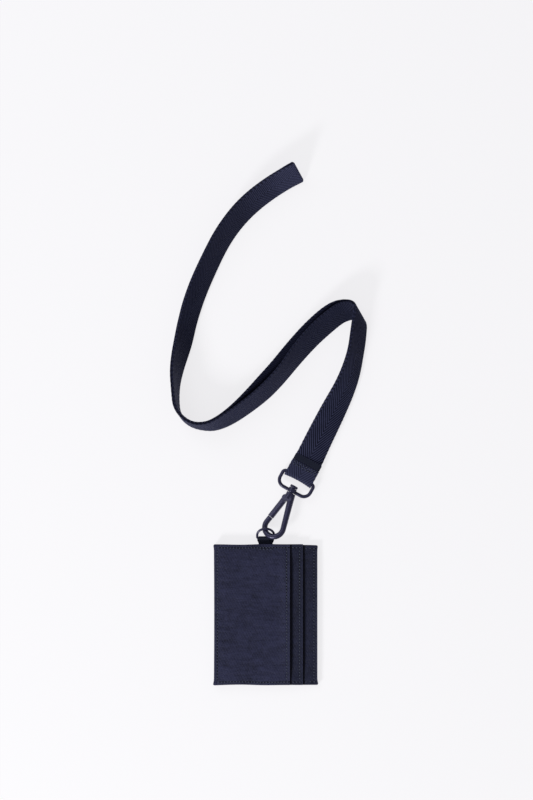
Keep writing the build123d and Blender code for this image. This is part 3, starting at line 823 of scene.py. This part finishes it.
@cache
def webbing_material():
    """Herringbone webbing: lit ribs, dark grooves, warp yarns along the strap, dotted selvedges."""
    s = Shader("navy_webbing", {"Sheen Weight": 0.12, "Sheen Roughness": 0.45,
                                "Sheen Tint": colour(0.40, 0.44, 1.0), "Specular IOR Level": 0.07})
    vector, along, across, _ = s.attribute("weave")
    out = s.math("ABSOLUTE", across)
    ribs = s.wave(s.math("MULTIPLY_ADD", out, RIB_SLOPE, along), RIB_PITCH)
    split_ribs = s.wave(s.math("MULTIPLY_ADD", out, RIB_SLOPE, along), RIB_PITCH / 2, 0.8)
    yarns = s.wave(across, 0.52 * MM)
    picks = s.wave(along, 0.7 * MM)
    fibre = s.noise(vector, 5200, 3.0, 0.7)
    slow = s.noise(vector, 90, 2.0)
    edge = s.ramp(out, SELVEDGE - 0.25 * MM, SELVEDGE + 0.15 * MM)
    dots = s.wave(along, RIB_PITCH, 1.0)
    weave = s.math("MULTIPLY_ADD", ribs, 0.62, s.math("MULTIPLY", yarns, 0.12))
    weave = s.math("MULTIPLY_ADD", split_ribs, 0.18, weave)
    weave = s.math("ADD", weave, s.math("MULTIPLY", picks, 0.06))
    height = s.mix(edge, weave, dots)
    lit = s.math("MULTIPLY_ADD", fibre, 0.3, s.math("SUBTRACT", height, 0.15))
    lit = s.math("MULTIPLY_ADD", slow, 0.3, s.math("SUBTRACT", lit, 0.15))
    shade = s.mix(s.ramp(lit, 0.1, 1.0), colour(0.0028, 0.0036, 0.0115), colour(0.0570, 0.0620, 0.1300))
    shade = s.mix(s.math("MULTIPLY", edge, 0.35), shade, colour(0.030, 0.031, 0.060))
    # painted shade: the middle of the lanyard is darker than its two ends, standing in for the shade on its
    # steeper runs; its relief is also made smoother there
    from_fold = s.math("ABSOLUTE", along)
    lit_ends = s.math("MAXIMUM", s.ramp(from_fold, 0.055, 0.020), s.ramp(from_fold, 0.360, 0.430))
    shaded_middle = s.mix(0.60, shade, colour(0.0082, 0.0096, 0.0240))
    shade = s.mix(lit_ends, shaded_middle, shade)
    # painted highlight: the last 30 mm at the neck fold are mixed towards a light blue, where light falls on
    # the fold's end
    shade = s.mix(s.ramp(from_fold, 0.030, 0.004, 0.0, 0.28), shade, colour(0.070, 0.074, 0.150))
    rough = s.ramp(fibre, 0.2, 0.8, 0.5, 0.72)
    rough_height = s.math("MULTIPLY_ADD", fibre, 0.12, height)
    rough_height = s.math("MULTIPLY", rough_height, s.math("MULTIPLY_ADD", lit_ends, 0.6, 0.4))
    return s.finish(shade, rough, s.bump(rough_height, 0.24 * MM, 0.9))


@cache
def band_material():
    """Smooth woven tape with a tight fine rib and lighter bound edges."""
    s = Shader("navy_tape", {"Sheen Weight": 0.04, "Sheen Roughness": 0.4,
                             "Sheen Tint": colour(0.4, 0.45, 1.0), "Specular IOR Level": 0.15})
    vector, _, across, _ = s.attribute("weave")
    fine = s.wave(across, 0.34 * MM)
    fibre = s.noise(vector, 4200, 2.0, 0.6)
    edge = s.ramp(s.math("ABSOLUTE", across), BAND_LENGTH / 2 - 0.35 * MM, BAND_LENGTH / 2 - 0.1 * MM)
    shade = s.mix(s.math("MULTIPLY", fine, 0.5), colour(0.010, 0.0125, 0.027), colour(0.021, 0.025, 0.050))
    shade = s.mix(s.math("MULTIPLY", edge, 0.6), shade, colour(0.055, 0.058, 0.105))
    height = s.math("MULTIPLY_ADD", fibre, 0.5, fine)
    return s.finish(shade, s.ramp(fibre, 0.2, 0.8, 0.52, 0.68), s.bump(height, 0.05 * MM, 0.6))


@cache
def thread_material():
    """Twisted sewing thread, with painted shade where it dives into the cloth and on the needle-hole domes.
    """
    s = Shader("navy_thread", {"Sheen Weight": 0.05, "Sheen Roughness": 0.4,
                               "Specular IOR Level": 0.15})
    _, along, around, needle_hole_shade = s.attribute("stitch")
    place = s.place()[0]
    twist = s.wave(s.math("MULTIPLY_ADD", along, 2.6, around), 0.5)
    ends = s.ramp(s.math("ABSOLUTE", s.math("SUBTRACT", along, 0.5)), 0.34, 0.49)
    fibre = s.noise(place, 6000, 2.0)
    shade = s.mix(s.math("MULTIPLY", twist, 0.7), colour(0.060, 0.068, 0.105), colour(0.140, 0.160, 0.210))
    # painted shade: near-black at the thread's ends and on the needle-hole domes, where shade falls into the
    # holes
    shade = s.mix(s.math("MAXIMUM", ends, needle_hole_shade), shade, colour(0.003, 0.003, 0.008))
    height = s.math("MULTIPLY_ADD", fibre, 0.3, twist)
    return s.finish(shade, s.ramp(fibre, 0.2, 0.8, 0.45, 0.65), s.bump(height, 0.06 * MM, 0.8))


@cache
def shell_material():
    """Coated twill: a fine diagonal grain with slubs, lighter and more purple along its turned edges."""
    s = Shader("navy_coated_twill", {"Sheen Weight": 0.08, "Sheen Roughness": 0.5,
                                     "Sheen Tint": colour(0.4, 0.42, 1.0), "Specular IOR Level": 0.2})
    _, edge, seam, mouth = s.attribute("edges")
    place, x, y, z = s.place()
    _, front, inward, _ = s.attribute("tone")
    grain = s.wave(s.math("ADD", s.math("MULTIPLY", x, 0.55), y), 0.95 * MM)
    crossing = s.wave(s.math("SUBTRACT", x, s.math("MULTIPLY", y, 0.3)), 1.1 * MM)
    pebble = s.noise(place, 1300, 3.0, 0.7)
    slub = s.noise(place, 260, 4.0, 0.65)
    slow = s.noise(place, 45, 2.0)
    ripple = s.noise(s.stretched(x, y, z, 0.22), 300, 3.0, 0.65)
    weave = s.math("MULTIPLY_ADD", grain, crossing, s.math("MULTIPLY", pebble, 1.1))
    tone = s.math("MULTIPLY_ADD", slow, 0.25, s.math("MULTIPLY", weave, 0.6))
    tone = s.math("MULTIPLY_ADD", slub, 0.6, tone)
    tone = s.math("MULTIPLY_ADD", ripple, 0.55, tone)
    shade = s.mix(s.ramp(tone, 0.68, 1.50), colour(0.0026, 0.0034, 0.0125), colour(0.0370, 0.0398, 0.0970))
    # painted shade: every panel but the outermost takes this darker copy of the colour, standing in for the
    # shade on the inner panels
    shaded_copy = s.mix(s.ramp(tone, 0.65, 1.55), colour(0.0020, 0.0027, 0.0088), colour(0.0208, 0.0236, 0.0600))
    shade = s.mix(front, shaded_copy, shade)
    # lighter and more purple along the turned edges, patchy with the slubs
    edge_tint = s.math("MULTIPLY", s.ramp(edge, 0.75 * MM, 0.15 * MM), s.ramp(slub, 0.3, 0.7, 0.25, 0.8))
    shade = s.mix(edge_tint, shade, colour(0.036, 0.034, 0.082))
    # painted highlight: a lighter strip just inside each mouth's edge, where the raised edge catches light
    mouth_lip_highlight = s.math("MULTIPLY", s.ramp(mouth, 1.3 * MM, 0.5 * MM), s.ramp(mouth, 0.1 * MM, 0.4 * MM))
    shade = s.mix(s.math("MULTIPLY", mouth_lip_highlight, 0.45), shade, colour(0.048, 0.054, 0.098))
    # painted shadow: the cloth just beside the mouth of the panel on top is painted nearly black, where that
    # panel's edge casts shade
    mouth_shadow = s.math("MULTIPLY", s.ramp(inward, 1.9 * MM, 0.6 * MM), s.ramp(inward, -0.5 * MM, 0.0))
    shade = s.mix(s.math("MULTIPLY", mouth_shadow, 0.85), shade, colour(0.0022, 0.0022, 0.0085))
    # painted shade: darker along the sewn seam lines, in their pressed-down grooves
    seam_groove_shade = s.math("MULTIPLY", s.ramp(seam, 0.55 * MM, 0.1 * MM), 0.35)
    shade = s.mix(seam_groove_shade, shade, colour(0.008, 0.009, 0.022))
    rough = s.ramp(pebble, 0.25, 0.75, 0.46, 0.66)
    normal = s.bump(weave, 0.16 * MM, 0.9)
    normal = s.bump(slub, 0.25 * MM, 0.6, normal)
    return s.finish(shade, rough, s.bump(ripple, 0.80 * MM, 0.8, normal))


@cache
def lining_material():
    """Thin plain-woven lining."""
    s = Shader("dark_lining", {"Sheen Weight": 0.2, "Sheen Roughness": 0.4})
    place, x, y, _ = s.place()
    warp = s.wave(x, 0.36 * MM)
    weft = s.wave(y, 0.36 * MM, pi)
    over = s.math("MAXIMUM", s.math("MULTIPLY", warp, warp), s.math("MULTIPLY", weft, weft))
    fibre = s.noise(place, 2500, 2.0)
    shade = s.mix(s.math("MULTIPLY", over, fibre), colour(0.008, 0.009, 0.016), colour(0.024, 0.026, 0.045))
    return s.finish(shade, s.ramp(fibre, 0.2, 0.8, 0.4, 0.6), s.bump(over, 0.05 * MM, 0.7))


@cache
def ribbon_material():
    """Grosgrain ribbon with close ribs across it."""
    s = Shader("navy_grosgrain", {"Sheen Weight": 0.06, "Sheen Roughness": 0.45,
                                  "Sheen Tint": colour(0.4, 0.42, 1.0), "Specular IOR Level": 0.15})
    vector, along, across, _ = s.attribute("weave")
    rib_wave = s.wave(along, 0.62 * MM)
    yarn = s.wave(across, 0.4 * MM)
    fibre = s.noise(vector, 4500, 2.0, 0.6)
    height = s.math("MULTIPLY_ADD", yarn, 0.35, s.math("MULTIPLY_ADD", fibre, 0.3, rib_wave))
    shade = s.mix(s.ramp(height, 0.3, 1.4), colour(0.004, 0.005, 0.012), colour(0.024, 0.027, 0.052))
    return s.finish(shade, s.ramp(fibre, 0.2, 0.8, 0.5, 0.7), s.bump(height, 0.09 * MM, 0.8))


@cache
def hardware_material():
    """Satin navy paint over cast metal: slightly uneven, with fine scuffs."""
    s = Shader("navy_paint", {"Metallic": 0.0, "Coat Weight": 0.25, "Coat Roughness": 0.2,
                              "Specular IOR Level": 0.55,
                              "Specular Tint": colour(0.62, 0.60, 1.0)})
    place = s.place()[0]
    skin = s.noise(place, 900, 3.0, 0.55)
    scuff = s.noise(place, 350, 4.0, 0.75)
    slow = s.noise(place, 70, 2.0)
    marks = s.ramp(scuff, 0.60, 0.72)
    shade = s.mix(s.ramp(slow, 0.3, 0.7), colour(0.017, 0.017, 0.042), colour(0.027, 0.026, 0.060))
    shade = s.mix(s.math("MULTIPLY", marks, 0.4), shade, colour(0.075, 0.076, 0.11))
    rough = s.math("MULTIPLY_ADD", marks, 0.12, s.ramp(skin, 0.3, 0.7, 0.30, 0.42))
    return s.finish(shade, rough, s.bump(skin, 0.04 * MM, 0.5))


@cache
def spring_material():
    """Bright drawn spring wire."""
    s = Shader("spring_steel", {"Metallic": 1.0})
    place = s.place()[0]
    drawn = s.noise(place, 1800, 2.0)
    shade = s.mix(drawn, colour(0.38, 0.38, 0.4), colour(0.6, 0.6, 0.62))
    return s.finish(shade, s.ramp(drawn, 0.3, 0.7, 0.25, 0.4), s.bump(drawn, 0.02 * MM, 0.5))


@cache
def floor_material():
    """Pale paper that glows a little, as an overlit background does."""
    s = Shader("pale_floor", {"Specular IOR Level": 0.1, "Emission Color": colour(0.99, 0.98, 1.0),
                              "Emission Strength": 0.78})
    place = s.place()[0]
    slow = s.noise(place, 3.0, 1.0)
    shade = s.mix(slow, colour(0.247, 0.247, 0.252), colour(0.253, 0.253, 0.258))
    return s.finish(shade, s.ramp(slow, 0.2, 0.8, 0.8, 0.9))


def dress_cad_nodes():
    """Materials for the CAD nodes that stay: the hardware and the hidden linings."""
    finishes = {
        "d_ring": hardware_material, "hook_frame": hardware_material, "gate": hardware_material,
        "gate_pin": hardware_material, "swivel_stud": hardware_material,
        "swivel_loop": hardware_material, "gate_spring": spring_material,
        "back_lining": lining_material, "base_lining": lining_material,
    }
    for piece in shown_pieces():
        node = piece.get("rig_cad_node")
        if node in finishes:
            for place in piece.material_slots:
                place.material = finishes[node]()


# ---------------------------------------------------------------- stage, light, camera

def make_stage():
    half = 6.0
    mesh = bpy.data.meshes.new("floor")
    mesh.from_pydata([(-half, -half, 0), (half, -half, 0), (half, half, 0), (-half, half, 0)], [],
                     [(0, 1, 2, 3)])
    mesh.materials.append(floor_material())
    floor = bpy.data.objects.new("floor", mesh)
    floor.location = (0, 0, -0.0002)
    bpy.context.scene.collection.objects.link(floor)


def area_light(name, place, target, size, power, tint=(1, 1, 1)):
    lamp = bpy.data.lights.new(name, "AREA")
    lamp.shape = "RECTANGLE"
    lamp.size, lamp.size_y = size
    lamp.energy = power
    lamp.color = tint
    holder = bpy.data.objects.new(name, lamp)
    holder.location = place
    holder.rotation_euler = (Vector(target) - Vector(place)).to_track_quat("-Z", "Y").to_euler()
    bpy.context.scene.collection.objects.link(holder)


def make_light():
    world = bpy.data.worlds.new("studio")
    world.use_nodes = True
    sky = world.node_tree.nodes["Background"]
    sky.inputs["Color"].default_value = (0.97, 0.98, 1.0, 1.0)
    sky.inputs["Strength"].default_value = 0.25
    bpy.context.scene.world = world
    area_light("key", (-0.95, -1.05, 0.85), (0.0, 0.12, 0.0), (0.35, 0.35), 18.0)
    area_light("fill", (-0.7, 0.9, 0.9), (0.0, 0.15, 0.0), (0.8, 0.8), 4.0, (0.93, 0.95, 1.0))


def make_camera():
    """Straight down on the lying wallet, hook and strap towards the top of the picture."""
    height = 2.5
    seen = 0.568
    camera = bpy.data.cameras.new("camera")
    camera.sensor_fit = "VERTICAL"
    camera.sensor_height = 24
    camera.lens = camera.sensor_height * height / seen
    camera.clip_end = 50
    holder = bpy.data.objects.new("camera", camera)
    holder.location = (0.0006, 0.1523, height)
    bpy.context.scene.collection.objects.link(holder)
    bpy.context.scene.camera = holder


make_camera()
make_lanyard()
make_wallet()
dress_cad_nodes()
make_stage()
make_light()
bpy.context.scene.view_settings.view_transform = "Standard"
